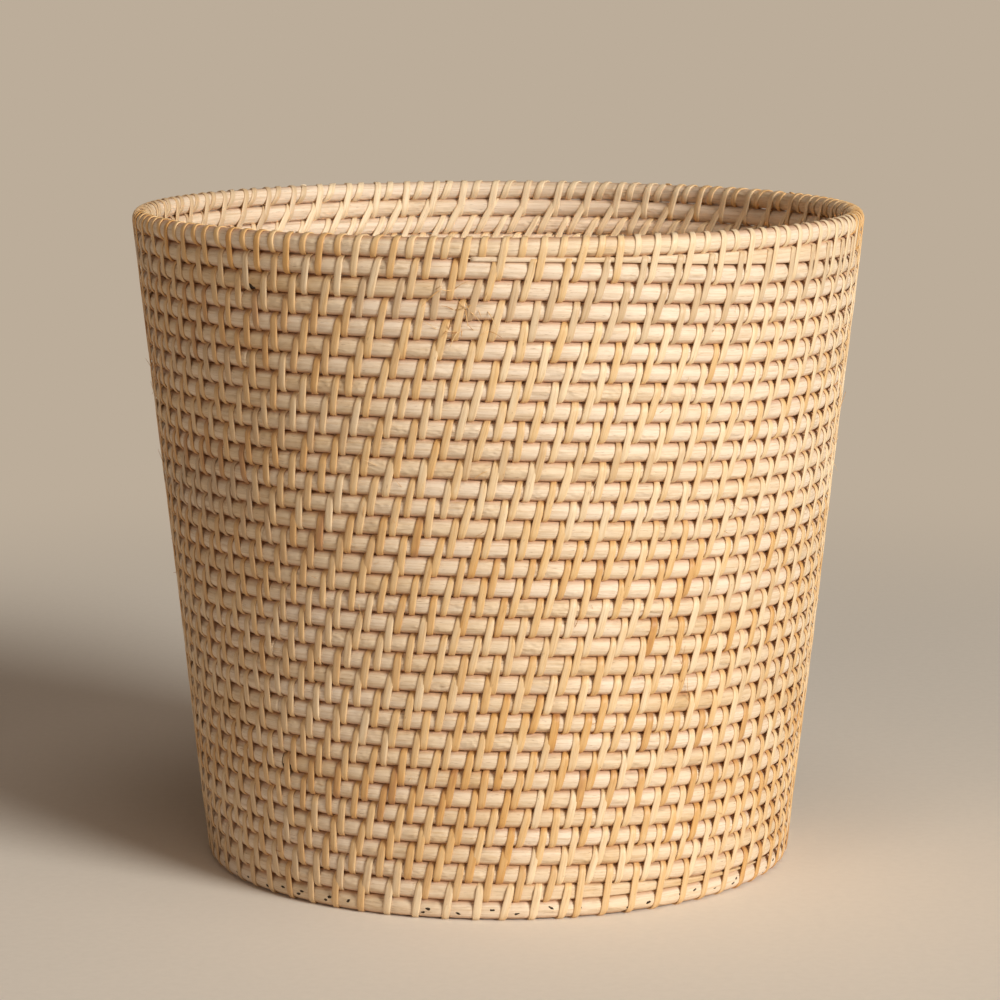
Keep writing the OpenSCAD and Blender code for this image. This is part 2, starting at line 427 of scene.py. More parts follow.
class Shader:
    """A node material, with the few kinds of node that the finishes here use."""

    def __init__(self, name, roughness, specular=0.5):
        self.material = bpy.data.materials.new(name)
        self.material.use_nodes = True
        self.nodes = self.material.node_tree.nodes
        self.links = self.material.node_tree.links
        self.surface = self.nodes["Principled BSDF"]
        self.surface.inputs["Roughness"].default_value = roughness
        self.surface.inputs["Specular IOR Level"].default_value = specular

    def node(self, kind, **values):
        """A new node with its settings."""
        made = self.nodes.new(kind)
        for key, value in values.items():
            setattr(made, key, value)
        return made

    def link(self, source, target):
        """Joins an output to an input."""
        self.links.new(source, target)

    def attribute(self, name, output="Fac"):
        """A value that the mesh stores for each point."""
        return self.node("ShaderNodeAttribute", attribute_name=name).outputs[output]

    def stretched(self, source, scale, shift=(0, 0, 0)):
        """Coordinates scaled along each axis."""
        mapping = self.node("ShaderNodeMapping")
        mapping.inputs["Scale"].default_value = scale
        mapping.inputs["Location"].default_value = shift
        self.link(source, mapping.inputs["Vector"])
        return mapping.outputs["Vector"]

    def part(self, source, axis):
        """One coordinate of a vector."""
        made = self.node("ShaderNodeSeparateXYZ")
        self.link(source, made.inputs[0])
        return made.outputs[axis]

    def noise(self, source, scale, detail=3, roughness=0.6):
        """Noise from 0 to 1 at coordinates."""
        made = self.node("ShaderNodeTexNoise")
        made.inputs["Scale"].default_value = scale
        made.inputs["Detail"].default_value = detail
        made.inputs["Roughness"].default_value = roughness
        self.link(source, made.inputs["Vector"])
        return made.outputs["Fac"]

    def ramp(self, factor, *stops):
        """Colours at places from 0 to 1."""
        made = self.node("ShaderNodeValToRGB")
        elements = made.color_ramp.elements
        while len(elements) < len(stops):
            elements.new(0.5)
        for element, (place, code) in zip(elements, stops):
            element.position = place
            element.color = linear(code)
        self.link(factor, made.inputs["Fac"])
        return made.outputs["Color"]

    def spread(self, value, low, high, to_low=0.0, to_high=1.0, kind="LINEAR"):
        """A value's range, mapped to another and clamped."""
        made = self.node("ShaderNodeMapRange", interpolation_type=kind)
        for key, number in zip(("From Min", "From Max", "To Min", "To Max"), (low, high, to_low, to_high)):
            made.inputs[key].default_value = number
        self.link(value, made.inputs["Value"])
        return made.outputs["Result"]

    def math(self, operation, first, second):
        """A calculation with two numbers or outputs."""
        made = self.node("ShaderNodeMath", operation=operation)
        for socket, value in zip(made.inputs, (first, second)):
            if isinstance(value, (int, float)):
                socket.default_value = value
            else:
                self.link(value, socket)
        return made.outputs["Value"]

    def mix(self, factor, first, second):
        """Two colours mixed by a factor. The node's colour sockets come after those of its other types."""
        made = self.node("ShaderNodeMix", data_type="RGBA")
        for socket, value in zip((made.inputs[0], made.inputs[6], made.inputs[7]), (factor, first, second)):
            if isinstance(value, list):
                socket.default_value = value
            else:
                self.link(value, socket)
        return made.outputs[2]

    def colour(self, source):
        """Gives the surface its colour."""
        self.link(source, self.surface.inputs["Base Color"])

    def bump(self, height, strength, distance):
        """Gives the surface its fine relief, with its depth in metres."""
        made = self.node("ShaderNodeBump")
        made.inputs["Strength"].default_value = strength
        made.inputs["Distance"].default_value = distance
        self.link(height, made.inputs["Height"])
        self.link(made.outputs["Normal"], self.surface.inputs["Normal"])


def cane_material():
    """Peeled rattan rod: pale cream, matte, with fibres and pores along it and a few grey stains."""
    cane = Shader("cane", roughness=0.5, specular=0.35)
    grain = cane.attribute("grain", "Vector")
    fibre = cane.noise(cane.stretched(grain, (0.03, 1.25, 1.25)), 1.0, detail=5, roughness=0.72)
    pore = cane.noise(cane.stretched(grain, (0.2, 3.2, 3.2)), 1.0, detail=2)
    patch = cane.noise(cane.stretched(grain, (0.03, 0.12, 0.12)), 1.0, detail=2)
    stain = cane.noise(cane.stretched(grain, (0.07, 0.3, 0.3), (900, 0, 0)), 1.0, detail=3)
    tone = cane.math("ADD", cane.attribute("tone"), cane.spread(patch, 0.3, 0.7, -0.16, 0.16))
    outer = cane.spread(cane.part(grain, "Y"), -0.5 * ROD_R, 0.2 * ROD_R)
    # Partly paler cane and partly painted light: the inner side of each rod, facing into the basket, is
    # paler
    tone = cane.math("ADD", tone, cane.spread(outer, 0, 1, -0.15, 0))
    base = cane.ramp(tone, (0.0, "#f0dcc6"), (0.35, "#e8d0b1"), (0.7, "#d6b487"), (1.0, "#b48559"))
    # Painted shade: each rod is browner near its top and bottom, where it meets the rows beside it, and
    # less so on its inner side
    away = cane.math("ABSOLUTE", cane.part(grain, "Z"), 0)
    crevice_shade = cane.spread(away, 0.6 * ROD_R, 1.1 * ROD_R, 0, 0.55)
    crevice_shade = cane.math("MULTIPLY", crevice_shade, cane.spread(outer, 0, 1, 0.3, 1))
    base = cane.mix(crevice_shade, base, linear("#b5651d"))
    streaked = cane.mix(cane.spread(fibre, 0.46, 0.72, 0, 0.62), base, linear("#c59c68"))
    pored = cane.mix(cane.spread(pore, 0.64, 0.74, 0, 0.6), streaked, linear("#8d6238"))
    stained = cane.mix(cane.spread(stain, 0.66, 0.8, 0, 0.45), pored, linear("#83705a"))
    # The tint darkens towards near-black; on cane only the plug in an open splice has it, as painted shade
    cane.colour(cane.mix(cane.attribute("tint"), stained, linear("#2e2014")))
    crinkle = cane.noise(cane.stretched(grain, (0.22, 0.45, 0.45), (500, 0, 0)), 1.0, detail=1)
    crushed = cane.math("MULTIPLY", crinkle, cane.spread(patch, 0.5, 0.65, 0, 5))
    rough = cane.math("ADD", fibre, cane.math("MULTIPLY", pore, 0.4))
    cane.bump(cane.math("ADD", rough, crushed), 0.6, 0.0004)
    return cane.material


def peel_material():
    """Split rattan peel: golden tan to cream, satin, with fibres along the strip."""
    peel = Shader("peel", roughness=0.42, specular=0.45)
    grain = peel.attribute("grain", "Vector")
    fibre = peel.noise(peel.stretched(grain, (0.05, 1.7, 1.0)), 1.0, detail=5, roughness=0.7)
    patch = peel.noise(peel.stretched(grain, (0.07, 0.4, 1.0)), 1.0, detail=2)
    speck = peel.noise(peel.stretched(grain, (0.5, 1.6, 1.0), (300, 0, 0)), 1.0, detail=2)
    tone = peel.math("ADD", peel.attribute("tone"), peel.spread(patch, 0.3, 0.7, -0.16, 0.16))
    golden = peel.ramp(tone, (0.0, "#f2dab7"), (0.4, "#e8c28d"), (0.75, "#d9a664"), (1.0, "#b37a46"))
    # Strips greyer by their tint: grey runs of their own, and painted shade at the basket's left
    grey_and_shade = peel.mix(peel.attribute("tint"), golden, linear("#cdb292"))
    streaked = peel.mix(peel.spread(fibre, 0.46, 0.76, 0, 0.55), grey_and_shade, linear("#b17f46"))
    peel.colour(peel.mix(peel.spread(speck, 0.68, 0.76, 0, 0.5), streaked, linear("#80562f")))
    peel.bump(fibre, 0.45, 0.0003)
    return peel.material


def plywood_material():
    """Base board: pale plywood with a flat grain and plies at its edge."""
    plywood = Shader("plywood", roughness=0.55)
    place = plywood.node("ShaderNodeTexCoord").outputs["Object"]
    warp = plywood.noise(plywood.stretched(place, (3, 14, 3)), 1.0, detail=2)
    rings = plywood.node("ShaderNodeTexWave", wave_type="BANDS", bands_direction="Y")
    rings.inputs["Scale"].default_value = 9
    rings.inputs["Distortion"].default_value = 7
    rings.inputs["Detail"].default_value = 3
    rings.inputs["Detail Scale"].default_value = 1.4
    plywood.link(plywood.stretched(place, (0.7, 4, 1)), rings.inputs["Vector"])
    fibre = plywood.noise(plywood.stretched(place, (40, 900, 400)), 1.0, detail=3)
    grain = plywood.math("ADD", rings.outputs["Fac"], plywood.spread(warp, 0.3, 0.7, -0.3, 0.3))
    base = plywood.ramp(grain, (0.1, "#dfc69d"), (0.6, "#d6b888"), (0.95, "#c7a26f"))
    plywood.colour(plywood.mix(plywood.spread(fibre, 0.5, 0.75, 0, 0.4), base, linear("#9c7443")))
    plywood.bump(fibre, 0.25, 0.0003)
    return plywood.material


def iron_material():
    """Brads: dark iron with rusty patches."""
    iron = Shader("iron", roughness=0.6)
    iron.surface.inputs["Metallic"].default_value = 0.7
    rust = iron.noise(iron.attribute("grain", "Vector"), 2.2, detail=4)
    iron.colour(iron.ramp(rust, (0.35, "#2c2722"), (0.6, "#463628"), (0.8, "#6a4426")))
    iron.bump(rust, 0.4, 0.0002)
    return iron.material


def grain_of(along, across, upward):
    """Grain coordinates of a tube's points: along it, and across and up its section."""
    return np.stack([np.broadcast_to(along[:, None], across.shape), across, upward], axis=-1)


def rod_frame(azimuth, row):
    """Centre line of a rod along rows, with the outward and forward directions of its section."""
    centre = in_space(azimuth, *swayed_place(azimuth, row))
    out = outward(azimuth)
    forward = unit(np.gradient(centre, axis=0))
    return centre, unit(out - forward * (out * forward).sum(axis=1, keepdims=True)), forward


def add_rod(skin, azimuth, row, seed, tone, pinch, tapered=False, girth=1.0, tint=0.0):
    """One length of rod, a little uneven in thickness and pinched by the strips on its outside. If tapered,
    its last end is whittled from below."""
    centre, out, forward = rod_frame(azimuth, row)
    up = np.cross(out, forward)
    up *= np.sign(up[:, 2:3])
    along = path_length(centre)
    angle = np.linspace(0, 2 * np.pi, ROD_SIDES, endpoint=False)
    uneven = 1 + ROD_SWELL * sum(share * wander(along, wave, seed + number)
                                 for number, (share, wave) in enumerate(ROD_SWELL_WAVES, 2))
    oval = 1 + ROD_SWELL * np.cos(2 * angle[None] + 2 * wander(along, ROD_OVAL_WAVE, seed + 4)[:, None])
    hugged = 1 - PINCH * pinch[:, None] * np.sqrt(np.clip(np.cos(angle), 0, 1))
    radius = girth * ROD_R * uneven[:, None] * oval * hugged
    across = radius * np.cos(angle)
    upward = radius * ROD_TALL * np.sin(angle)
    if tapered:
        whittled = np.interp(along[-1] - along, [0, SPLICE_TAPER], [WHITTLED_TO, 1])
        cut = (1 - whittled[:, None]) * np.clip(np.cos(angle), 0, 1)
        upward = np.where(upward < 0, upward * (1 - cut), upward)
    turning = np.sign(np.cross(out[0], up[0]) @ forward[0])
    rings = centre[:, None] + across[..., None] * out[:, None] + upward[..., None] * up[:, None]
    grain = grain_of(along + ROD_GRAIN_APART * seed, across, upward)
    if turning < 0:
        rings, grain = rings[:, ::-1], grain[:, ::-1]
    skin.add_tube(rings, grain, tone[:, None], tint)


def left_share(travel):
    """1 at the left of the basket, 0 from the middle of the front to the right and at the back."""
    azimuth = (STEP_START - travel + 180) % 360 - 180
    return np.interp(azimuth, LEFT_AZIMUTHS, LEFT_SHARES)


def low_left_light(travel):
    """1 at the foot on the left, where rods and strips are a little paler with painted light, and 0 from
    LOW_TURNS up.
    """
    return left_share(travel) * (1 - np.clip(travel / 360 / LOW_TURNS, 0, 1))


def paler_high_shaded_left(travel):
    """How much paler rods and strips are: up to 1 on the upper third, and below 0, browner with painted
    shade, at its left.
    """
    higher = np.clip((travel / 360 - PALER_FROM_TURN) / PALER_OVER_TURNS, 0, 1)
    return (1 - LEFT_PAINTED_SHADE * left_share(travel)) * higher


def rod_tone(travel, seed):
    """How brown the rod is along its travel: slow drifts, paler high up, browner with painted shade at the
    left and paler with painted light low there, and browner stretches beside open splices.
    """
    tone = ROD_TONE
    for number, (size, wavelength) in enumerate(ROD_TONE_DRIFTS):
        tone = tone + size * wander(travel, wavelength, seed + number)
    # Paler high up; at the left, browner with painted shade above and paler with painted light low down
    tone = tone - UPPER_PALER * paler_high_shaded_left(travel) - LOW_LEFT_LIGHT * low_left_light(travel)
    for start, end, brown in BROWN_STRETCHES:
        tone = tone + brown * ((travel > start) & (travel < end))
    return np.clip(tone, 0, 1)


def rod_tone_seed(number):
    """Seed of the tones of one length of wall rod."""
    return 7 * number


def rod_span(number):
    """Travel at either end of one length of wall rod."""
    start = 0 if number == 1 else SPLICE_TRAVEL + 360 * ROD_TURNS * (number - 1)
    return start, min(COIL_END, SPLICE_TRAVEL + 360 * ROD_TURNS * number)


def make_wall_rod(number, material):
    """A length of the coil, parted and whittled where an open splice shows."""
    skin = Skin()
    start, end = rod_span(number)
    gap = SPLICE_GAP / 2
    ends = [start, *(splice for splice in OPEN_SPLICES if start < splice < end), end]
    for low, high in zip(ends, ends[1:]):
        high_open = high in OPEN_SPLICES
        count = int((high - low) / ROD_RING_ANGLE) + 2
        travel = np.linspace(low + gap * (low in OPEN_SPLICES), high - gap * high_open, count)
        row = coil_row(travel)
        tone = rod_tone(travel, rod_tone_seed(number))
        seed = ROD_SEEDS_APART * number
        add_rod(skin, STEP_START - travel, row, seed + int(low > start), tone,
                pinched(travel, COIL_CROSSINGS, row_place(row)[0]), high_open)
        if high_open:
            # Painted shade: a thin near-black plug fills the open splice's gap, standing in for the shadow
            # in the hole
            hole_shade = high + np.linspace(*HOLE_SHADE_ENDS, HOLE_SHADE_RINGS)
            add_rod(skin, STEP_START - hole_shade, coil_row(hole_shade), seed + HOLE_SHADE_SEED, np.ones(HOLE_SHADE_RINGS),
                    np.zeros(HOLE_SHADE_RINGS), girth=HOLE_SHADE_GIRTH, tint=1.0)
    skin.piece(f"rod_{number:02d}", material, [f"wall_rod_{number:02d}"])


def make_ring(name, row, seed, seam, crossed, material):
    """Foot or rim ring: one rod whose ends butt under a wrap."""
    skin = Skin()
    azimuth = np.linspace(seam, seam - RING_SWEEP, int(360 / ROD_RING_ANGLE))
    size, wavelength = RING_TONE_DRIFT
    tone = RING_TONE + size * wander(azimuth, wavelength, seed)
    travel = crossed[0] + (STEP_START - azimuth - crossed[0]) % 360
    add_rod(skin, azimuth, np.full_like(azimuth, row), seed, np.clip(tone, 0, 1),
            pinched(travel, crossed, row_place(row)[0]))
    skin.piece(f"{name}_rod", material, [name])


def add_filler(skin, azimuth, radius, height, width, thickness, squareness, tone, seed):
    """A shaved strip: its section goes from round to flat-faced as squareness grows from ROUND."""
    angle = np.linspace(0, 2 * np.pi, FILLER_SIDES, endpoint=False)
    across = width[:, None] / 2 * squared(np.cos(angle), squareness[:, None])
    upward = thickness[:, None] / 2 * squared(np.sin(angle), squareness[:, None])
    centre = in_space(azimuth, radius, height)
    out = outward(azimuth)
    rings = centre[:, None] + across[..., None] * out[:, None]
    rings[..., 2] += upward
    along = path_length(centre)
    grain = grain_of(along + FILLER_GRAIN_APART * seed, across, upward)
    skin.add_tube(rings, grain, tone[:, None], 0.0)


def rim_room(azimuth):
    """Height between the rim and the last climb of the coil."""
    climbed = climb_share(np.clip(azimuth - STEP_START, 0, STEP_SPAN))
    return climbed * ROW_RISE + ROW_STEP - 2 * ROD_R * ROD_TALL


def make_rim_wedge(material):
    """Filler between the rim and the last climb of the coil, thin at the left."""
    azimuth = np.linspace(RIM_WEDGE_FROM, STEP_END, FILLER_RINGS)
    room = rim_room(azimuth)
    thickness = np.maximum(room + 2 * ROD_PRESS, RIM_FILLER_LEAST)
    radius, height = row_place(RIM_ROW)
    middle = height - ROD_R * ROD_TALL - room / 2
    size, wavelength = FILLER_TONE_DRIFT
    tone = FILLER_TONE + size * wander(azimuth, wavelength, RIM_FILLER_SEED)
    skin = Skin()
    add_filler(skin, azimuth, radius - (height - middle) * ROW_RUN / ROW_RISE + FILLER_OUT, middle,
               np.full_like(azimuth, WEDGE_W), thickness, np.full_like(azimuth, FILLER_SQUARENESS), tone,
               RIM_FILLER_SEED)
    skin.piece("rim_filler", material, ["rim_wedge"])


def make_foot_wedge(material):
    """Start of the coil over the foot ring: a round rod at the left, shaved down to a thin flat strip."""
    azimuth = np.linspace(FOOT_WEDGE_FROM, FOOT_WEDGE_TO, FILLER_RINGS)
    shaved = np.clip((azimuth - STEP_START) / SHAVED_AT, 0, 1)
    radius, height = row_place(shaved_row(azimuth))
    width = 2 * FOOT_FILLER_INSET * ROD_R + (WEDGE_W - 2 * ROD_R) * shaved
    squareness = ROUND + (FILLER_SQUARENESS - ROUND) * shaved ** 2
    thickness = FOOT_FILLER_INSET * shaved_thickness(azimuth)
    tone = rod_tone(STEP_START - azimuth, rod_tone_seed(1)) + FOOT_FILLER_BROWNER * shaved
    skin = Skin()
    add_filler(skin, azimuth, radius, height, width, thickness, squareness, tone, FOOT_FILLER_SEED)
    skin.piece("foot_filler", material, ["foot_wedge"])


def loop_template(rods_apart, front, share):
    """Path of one wrap from its top, down the front and up the back: where it is from the upper rod's
    centre to the lower one's, the direction it lies in from there, how far sideways it has gone, and how
    far it leans."""
    reach = ROD_R + STRIP_FIT
    quarter = np.linspace(0, 90, 5)[:-1]
    run = np.linspace(0, 1, 7)[:-1] if rods_apart else np.zeros(0)
    half = np.linspace(90, 270, 10)[:-1]
    lower = 1.0 if rods_apart else 0.0
    down = np.concatenate([0 * quarter, run, lower + 0 * half, 1 - run, 0 * quarter])
    turn = np.concatenate([quarter, 90 + 0 * run, half, 270 + 0 * run, 270 + quarter])
    step = np.hypot(np.diff(down, append=0) * rods_apart,
                    np.radians(np.diff(turn, append=360)) * reach)
    gone = np.concatenate([[0], np.cumsum(step)[:-1]])
    total = step.sum()
    even = gone / total * share
    drift = np.interp(gone, [0, total / 2, total], [0, front, share]) - even
    smoothing = np.array([1, 2, 3, 2, 1]) / 9
    padded = np.concatenate([drift[-2:], drift, drift[:2]])
    lean = np.interp(gone, [0, total / 2, total], [-0.5, 0.5, -0.5])
    return down, turn, np.convolve(padded, smoothing, "valid") + even, lean


LONG_WRAP = loop_template(ROW_STEP, FRONT_SHARE, 1.0)
RIM_LONG = loop_template(ROW_STEP, RIM_LONG_FRONT, RIM_LONG_SHARE)
RIM_SHORT = loop_template(0, RIM_SHORT_FRONT, 1 - RIM_LONG_SHARE)


def less_lean(travel):
    """How much less the wraps lean: unevenly, and upright at the left of the front."""
    azimuth = (STEP_START - travel + 180) % 360 - 180
    upright = np.interp(azimuth, UPRIGHT_AZIMUTHS, UPRIGHT_SHARES)
    return FRONT_SHARE * upright + LEAN_UNEVEN * wander(travel / STITCH_ANGLE, LEAN_WAVE, LEAN_SEED)


def filler_under(travel):
    """Thickness of the rim filler that a stitch binds to the coil's last climb."""
    into = travel - (COIL_END - 360)
    filled = (into > 0) & (into < STEP_END - RIM_WEDGE_FROM)
    return np.where(filled, rim_room(STEP_END - into), 0)


def around_rods(turn, filler):
    """How far a strip lies out from and above a rod's centre, at its turn angles. A filler on the rod lifts
    the top of the wrap, and pushes it out to the filler's faces beside it."""
    outer, upper = np.sin(turn), np.cos(turn)
    hugged = 1 - PINCH * np.sqrt(np.clip(outer, 0, 1))
    reach = outer * (ROD_R * hugged + STRIP_FIT)
    lift = upper * (ROD_R * ROD_TALL + STRIP_FIT) + filler * np.sqrt(np.clip(upper, 0, 1))
    beside = (filler > FILLER_SHOWS) & (upper > BESIDE_FILLER[0]) & (upper < BESIDE_FILLER[1])
    return np.where(beside, np.sign(reach) * np.maximum(np.abs(reach), FILLER_FACE), reach), lift


def wrap_path(travel, template):
    """Points, outward normals and turn angles of a strip wrapped once from each of these travels."""
    down, turn, sideways, lean = template
    place = (travel[:, None] + (sideways - less_lean(travel)[:, None] * lean) * STITCH_ANGLE).ravel()
    down = np.tile(down, len(travel))
    turn = np.radians(np.tile(turn, len(travel)))
    azimuth = STEP_START - place
    upper_r, upper_z = swayed_place(azimuth, upper_row(place))
    lower_r, lower_z = swayed_place(azimuth, lower_row(place))
    gap = np.hypot(upper_r - lower_r, upper_z - lower_z)
    lean_r, lean_z = (upper_r - lower_r) / gap, (upper_z - lower_z) / gap
    normal_r = np.cos(turn) * lean_r + np.sin(turn) * lean_z
    normal_z = np.cos(turn) * lean_z - np.sin(turn) * lean_r
    reach, lift = around_rods(turn, filler_under(place))
    radius = upper_r + down * (lower_r - upper_r) + reach * lean_z + lift * lean_r
    height = upper_z + down * (lower_z - upper_z) - reach * lean_r + lift * lean_z
    normal = outward(azimuth) * normal_r[:, None]
    normal[:, 2] = normal_z
    return in_space(azimuth, radius, height), normal, turn


def add_strip(skin, points, normal, turn, tone, tint, width, seed):
    """A ribbon along a wrapped path."""
    forward = unit(np.gradient(points, axis=0))
    side = unit(np.cross(normal, forward))
    lift = np.cross(forward, side)
    narrowed = width * (1 - STRIP_NARROWED * np.abs(np.cos(turn)))
    across = narrowed[:, None] * STRIP_SECTION[:, 0]
    upward = STRIP_T * STRIP_SECTION[:, 1]
    rings = points[:, None] + across[..., None] * side[:, None] + upward[None, :, None] * lift[:, None]
    along = path_length(points) + STRIP_GRAIN_APART * seed
    grain = grain_of(along, across, np.full_like(across, STRIP_GRAIN_SHIFT * seed))
    # Painted shade: strips are browner towards their ends, where they tuck in between rods
    tuck_shade = TUCKED_PAINTED_SHADE * np.abs(np.cos(turn)) ** 2
    # Partly paler peel and partly painted light: strips are paler where they run on the inside of the wall
    inside = INSIDE_PAINTED_LIGHT * np.clip(-np.sin(turn), 0, 1)
    skin.add_tube(rings[:, ::-1], grain[:, ::-1], (tone + tuck_shade - inside)[:, None], tint[:, None])


def stitch_travels(low, high):
    """Travels of the stitches of a stretch, a little unevenly spaced."""
    first = math.ceil((low - FIRST_STITCH) / STITCH_ANGLE)
    last = math.ceil((high - FIRST_STITCH) / STITCH_ANGLE)
    count = np.arange(first, last)
    waves = zip(SPACING_WAVES, SPACING_SEEDS)
    uneven = sum(SPACING_UNEVEN * wander(count, wave, seed) for wave, seed in waves)
    return FIRST_STITCH + (count + uneven) * STITCH_ANGLE


def crossings(template, travels, rod):
    """Travels at which wraps cross the outside of their upper rod (0) or lower rod (-1)."""
    _, turn, sideways, lean = template
    spot = np.flatnonzero(turn == 90)[rod]
    return travels + (sideways[spot] - less_lean(travels) * lean[spot]) * STITCH_ANGLE


def all_crossings():
    """Where strips cross the foot ring, the coil and the rim ring, in order of travel."""
    foot = stitch_travels(COIL_START, 360 + COIL_START)
    coil = stitch_travels(COIL_START, COIL_END)
    rim = stitch_travels(COIL_END, COIL_END + 360)
    on_foot = crossings(LONG_WRAP, foot, -1)
    on_coil = [crossings(LONG_WRAP, coil, 0), crossings(LONG_WRAP, coil, -1) - 360,
               crossings(RIM_LONG, rim, -1) - 360]
    short = rim + RIM_LONG_SHARE * STITCH_ANGLE
    on_rim = np.sort(np.concatenate([crossings(RIM_LONG, rim, 0), crossings(RIM_SHORT, short, 0)]))
    return (np.append(on_foot, on_foot[0] + 360), np.sort(np.concatenate(on_coil)),
            np.append(on_rim, on_rim[0] + 360))


FOOT_CROSSINGS, COIL_CROSSINGS, RIM_CROSSINGS = all_crossings()


def pinched(travel, crossed, radius):
    """How hard the strips nearby pull a rod in, up to 1 under a strip."""
    near = np.searchsorted(crossed, travel)
    total = np.zeros_like(travel)
    for other in (-2, -1, 0, 1):
        strip = crossed[np.clip(near + other, 0, len(crossed) - 1)]
        apart = np.radians(travel - strip) * radius
        total += np.exp(-(apart / PINCH_REACH) ** 2)
    return np.clip(total, 0, 1)


def strip_runs(count, seed):
    """Splits a stretch into lengths of strip, each with its own colour and width."""
    rng = np.random.default_rng(seed)
    start = 0
    while start < count:
        end = min(count, start + int(rng.integers(*RUN_LENGTHS)))
        kind = rng.random()
        tone = rng.normal(*USUAL_TONE)
        tint = max(0.0, rng.normal(*USUAL_TINT))
        if kind < PALE_UP_TO:
            tone = rng.normal(*PALE_TONE)
        elif kind < DARK_UP_TO:
            tone = rng.normal(*DARK_TONE)
        elif kind < GREY_UP_TO:
            tint = rng.uniform(*GREY_TINTS)
        yield start, end, tone, tint, STRIP_W * rng.uniform(*RUN_WIDTHS), rng
        start = end


def strip_shade_and_paling(travel):
    """How much browner than their run the stitches are, or paler, below 0: browner with painted shade at
    the left, paler high up, and paler with painted light low at the left."""
    browner = STRIPS_LEFT_SHADE * left_share(travel) - STRIPS_PALER * paler_high_shaded_left(travel)
    return browner - STRIPS_LOW_LEFT_LIGHT * low_left_light(travel)


def make_lacing(name, nodes, low, high, seed, material):
    """Strips wrapped round each row and the one below it."""
    skin = Skin()
    travels = stitch_travels(low, high)
    steps = len(LONG_WRAP[0])
    for start, end, tone, tint, width, rng in strip_runs(len(travels), seed):
        points, normal, turn = wrap_path(travels[start:end], LONG_WRAP)
        spread = rng.normal(0, STITCH_SPREAD, end - start)
        each = np.repeat(spread + strip_shade_and_paling(travels[start:end]), steps)
        # Strips greyer at the left: painted shade
        grey_and_shade = np.repeat(np.clip(tint + STRIPS_LEFT_GREY_SHADE * left_share(travels[start:end]), 0, 1), steps)
        add_strip(skin, points, normal, turn, np.clip(tone + each, 0, 1), grey_and_shade, width, seed + start)
    skin.piece(name, material, nodes)


def make_rim_lacing(material):
    """Rim strips: long wraps over the rim and the row below, with a short wrap of the rim between."""
    skin = Skin()
    travels = stitch_travels(COIL_END, COIL_END + 360)
    steps = [len(RIM_LONG[0]), len(RIM_SHORT[0])]
    for start, end, tone, tint, width, rng in strip_runs(len(travels), RIM_LACING_SEED):
        browner = np.repeat(strip_shade_and_paling(travels[start:end]), 2)
        spread = rng.normal(0, RIM_STITCH_SPREAD, 2 * (end - start))
        each = np.repeat(spread + browner, steps * (end - start))
        paths = []
        for travel in travels[start:end]:
            paths.append(wrap_path(np.array([travel]), RIM_LONG))
            paths.append(wrap_path(np.array([travel + RIM_LONG_SHARE * STITCH_ANGLE]), RIM_SHORT))
        points, normal, turn = (np.concatenate(part) for part in zip(*paths))
        # The top of a rim wrap lies bare on the rim, so the painted shade of tucked ends is taken off there
        rim_top_unshaded = TUCKED_PAINTED_SHADE * np.clip(np.cos(turn), 0, 1) ** 2
        add_strip(skin, points, normal, turn, np.clip(tone + each, 0, 1) - rim_top_unshaded, np.full(len(points), tint),
                  width, RIM_LACING_SEED + start)
    skin.piece("rim_strips", material, ["rim_lacing", "rim_short_wraps"])


def brad_places(rng):
    """Azimuth and height of each brad: one in most bays between foot stitches, in some none or a pair."""
    for bay in range(BRAD_BAYS):
        travel = FIRST_STITCH + (bay + 0.5) * STITCH_ANGLE
        middle = BRAD_SHARE_AT_STEP if travel > 360 + COIL_START else BRAD_SHARE
        share = middle + rng.uniform(-BRAD_SHARE_SPREAD, BRAD_SHARE_SPREAD)
        level = BRAD_HEIGHT + rng.uniform(-BRAD_HEIGHT_SPREAD, BRAD_HEIGHT_SPREAD)
        for number in range(rng.choice(BRADS_IN_BAY)):
            aside = (share + PAIR_SHARE * number) * STITCH_ANGLE
            yield STEP_START - travel - aside, level - PAIR_DROP * number


def make_brads(material):
    """Iron brads through the foot ring, with small uneven heads sunk in the cane."""
    skin = Skin()
    rng = np.random.default_rng(BRAD_SEED)
    girth = BRAD_GIRTH[:, None]
    angle = np.linspace(0, 2 * np.pi, BRAD_SIDES, endpoint=False)
    for azimuth, level in brad_places(rng):
        out = outward(np.array([azimuth]))[0]
        side = np.array([-out[1], out[0], 0])
        face = FOOT_R + math.sqrt(ROD_R ** 2 - (FOOT_Z - level) ** 2)
        uneven = 1 + BRAD_UNEVEN * rng.normal(size=BRAD_SIDES)
        tilt = rng.normal(0, BRAD_TILT)
        wide = (side * math.cos(tilt) + np.array([0, 0, math.sin(tilt)])) * rng.uniform(*BRAD_WIDENED)
        tall = (np.array([0, 0, math.cos(tilt)]) - side * math.sin(tilt)) * rng.uniform(*BRAD_FLATTENED)
        rings = ((face + BRAD_REACH)[:, None, None] * out + np.array([0, 0, level])
                 + (girth * uneven * np.cos(angle))[..., None] * wide
                 + (girth * uneven * np.sin(angle))[..., None] * tall)
        skin.add_tube(rings, rings, 0.0, 0.0)
    skin.piece("brads", material, ["foot_brads"])


def fray_places(rng):
    """Travels where loose fibres stand off the wall: scattered, and close together at one worn spot."""
    scattered = rng.uniform(360, COIL_END, FRAY_COUNT)
    worn = 360 * rng.integers(*WORN_TURNS, WORN_FRAYS) + STEP_START - WORN_AZIMUTH
    return np.concatenate([scattered, worn + rng.normal(0, WORN_SPREAD, WORN_FRAYS)])


